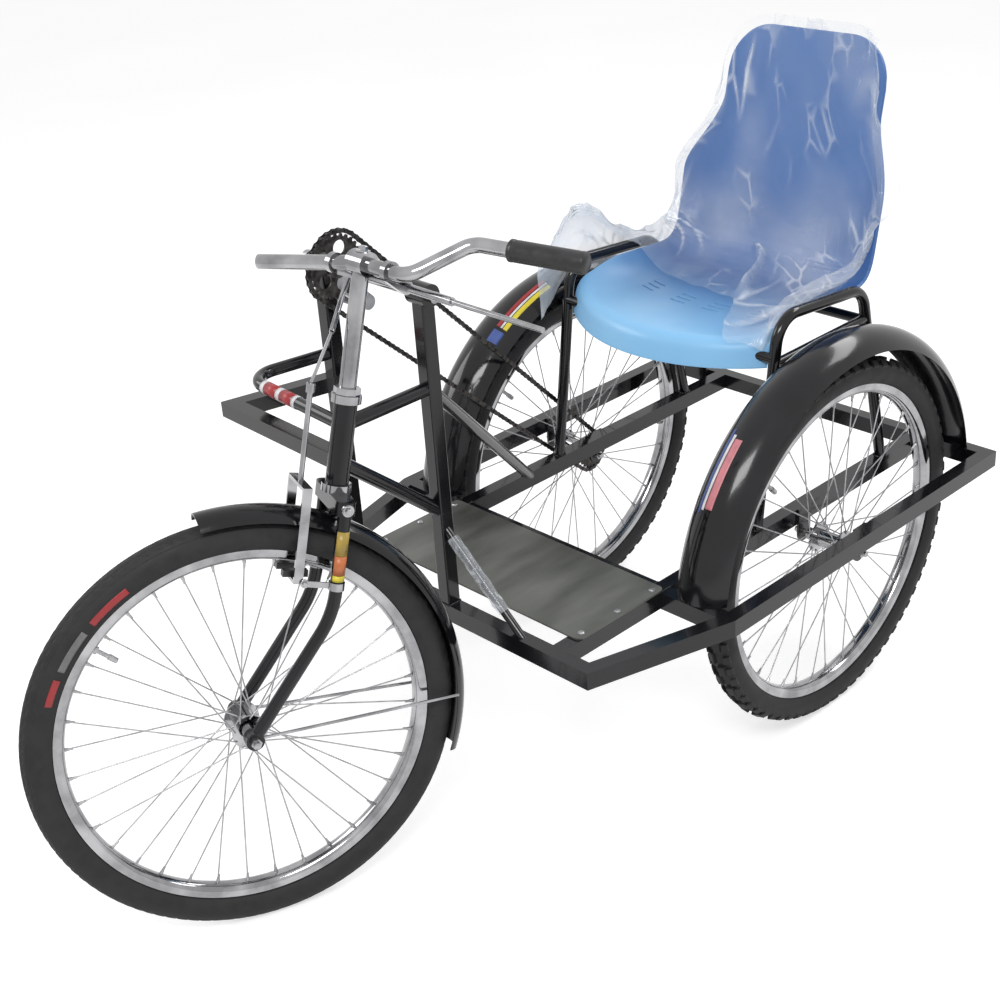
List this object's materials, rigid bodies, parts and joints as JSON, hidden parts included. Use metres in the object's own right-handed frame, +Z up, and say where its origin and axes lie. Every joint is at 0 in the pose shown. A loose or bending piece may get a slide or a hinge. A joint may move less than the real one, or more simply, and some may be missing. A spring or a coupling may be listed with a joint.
{
  "type": "hand-cranked tricycle",
  "caption": "Hand-cranked invalid tricycle with wire wheels, square-tube floor frame, bucket seat, steered front fork with a tiller bar and a side crank with chain drive.",
  "frame": {"origin": "on the floor, at the middle of the outline in plan, parked on its three wheels", "axes": "+Z up, -Y towards the front wheel, +X to the rider's left"},
  "size_m": [0.779, 1.7034, 1.108],
  "materials": {
    "black_paint": "gloss",
    "chrome": "polished",
    "zinc_steel": "plated",
    "dark_steel": "oiled",
    "plate_steel": "rolled",
    "tyre_rubber": "matt",
    "grip_rubber": "matt",
    "seat_plastic": "moulded"
  },
  "bodies": {
    "frame": {"armrest_left": "black_paint", "armrest_right": "black_paint", "axle_left": "zinc_steel", "axle_right": "zinc_steel", "centre_post": "black_paint", "chain": "dark_steel", "chain_side_strut": "black_paint", "crank_bearings": "black_paint", "cross_member": "black_paint", "down_tube": "black_paint", "dropouts_left": "black_paint", "dropouts_right": "black_paint", "footboard": "plate_steel", "front_bar": "black_paint", "head_tube": "black_paint", "headset_cups": "chrome", "hoop_brace": "black_paint", "mudguard_left": "black_paint", "mudguard_right": "black_paint", "post_strut": "black_paint", "rail_inner_left": "black_paint", "rail_inner_right": "black_paint", "rail_outer_left": "black_paint", "rail_outer_right": "black_paint", "rear_bar": "black_paint", "right_post": "black_paint", "seat_frame": "black_paint", "seat_shell": "seat_plastic", "top_tube": "black_paint", "tray_rail": "black_paint"},
    "steering": {"fork": "black_paint", "stem": "chrome", "headset_nut": "chrome", "handlebar": "chrome", "grip": "grip_rubber", "brake_lever": "chrome", "lever_lugs": "chrome", "brake_rod": "chrome", "brake_stirrup": "chrome", "brake_shoes": "grip_rubber", "mudguard_front": "black_paint", "guard_stays": "chrome", "axle_front": "zinc_steel"},
    "front_wheel": {"tyre_front": "tyre_rubber", "rim_front": "chrome", "spokes_front": "zinc_steel", "hub_front": "chrome"},
    "wheel_left": {"tyre_left": "tyre_rubber", "rim_left": "chrome", "spokes_left": "zinc_steel", "hub_left": "chrome"},
    "wheel_right": {"tyre_right": "tyre_rubber", "rim_right": "chrome", "spokes_right": "zinc_steel", "hub_right": "chrome", "cog": "dark_steel"},
    "crank": {"crank_axle": "chrome", "chainwheel": "dark_steel", "crank_arm": "zinc_steel"},
    "crank_handle": {"crank_handle": "grip_rubber"}
  },
  "joints": [
    {"name": "steer", "type": "hinge", "parent": "frame", "child": "steering", "pos_m": [0, -0.3508, 0.66], "axis": [0, 0.2756, 0.9613], "range_deg": [-6, 50]},
    {"name": "front_wheel_spin", "type": "hinge", "parent": "steering", "child": "front_wheel", "pos_m": [-0.03746, -0.54235, 0.32836], "axis": [0.9272, -0.3601, 0.1033], "continuous": true},
    {"name": "wheel_left_spin", "type": "hinge", "parent": "frame", "child": "wheel_left", "pos_m": [0.305, 0.4612, 0.33], "axis": [1, 0, 0], "continuous": true},
    {"name": "wheel_right_spin", "type": "hinge", "parent": "frame", "child": "wheel_right", "pos_m": [-0.305, 0.4612, 0.33], "axis": [1, 0, 0], "continuous": true},
    {"name": "crank_turn", "type": "hinge", "parent": "frame", "child": "crank", "pos_m": [0, -0.1528, 0.905], "axis": [1, 0, 0], "continuous": true},
    {"name": "crank_handle_spin", "type": "hinge", "parent": "crank", "child": "crank_handle", "pos_m": [-0.272, -0.04673, 0.79893], "axis": [1, 0, 0], "continuous": true}
  ]
}
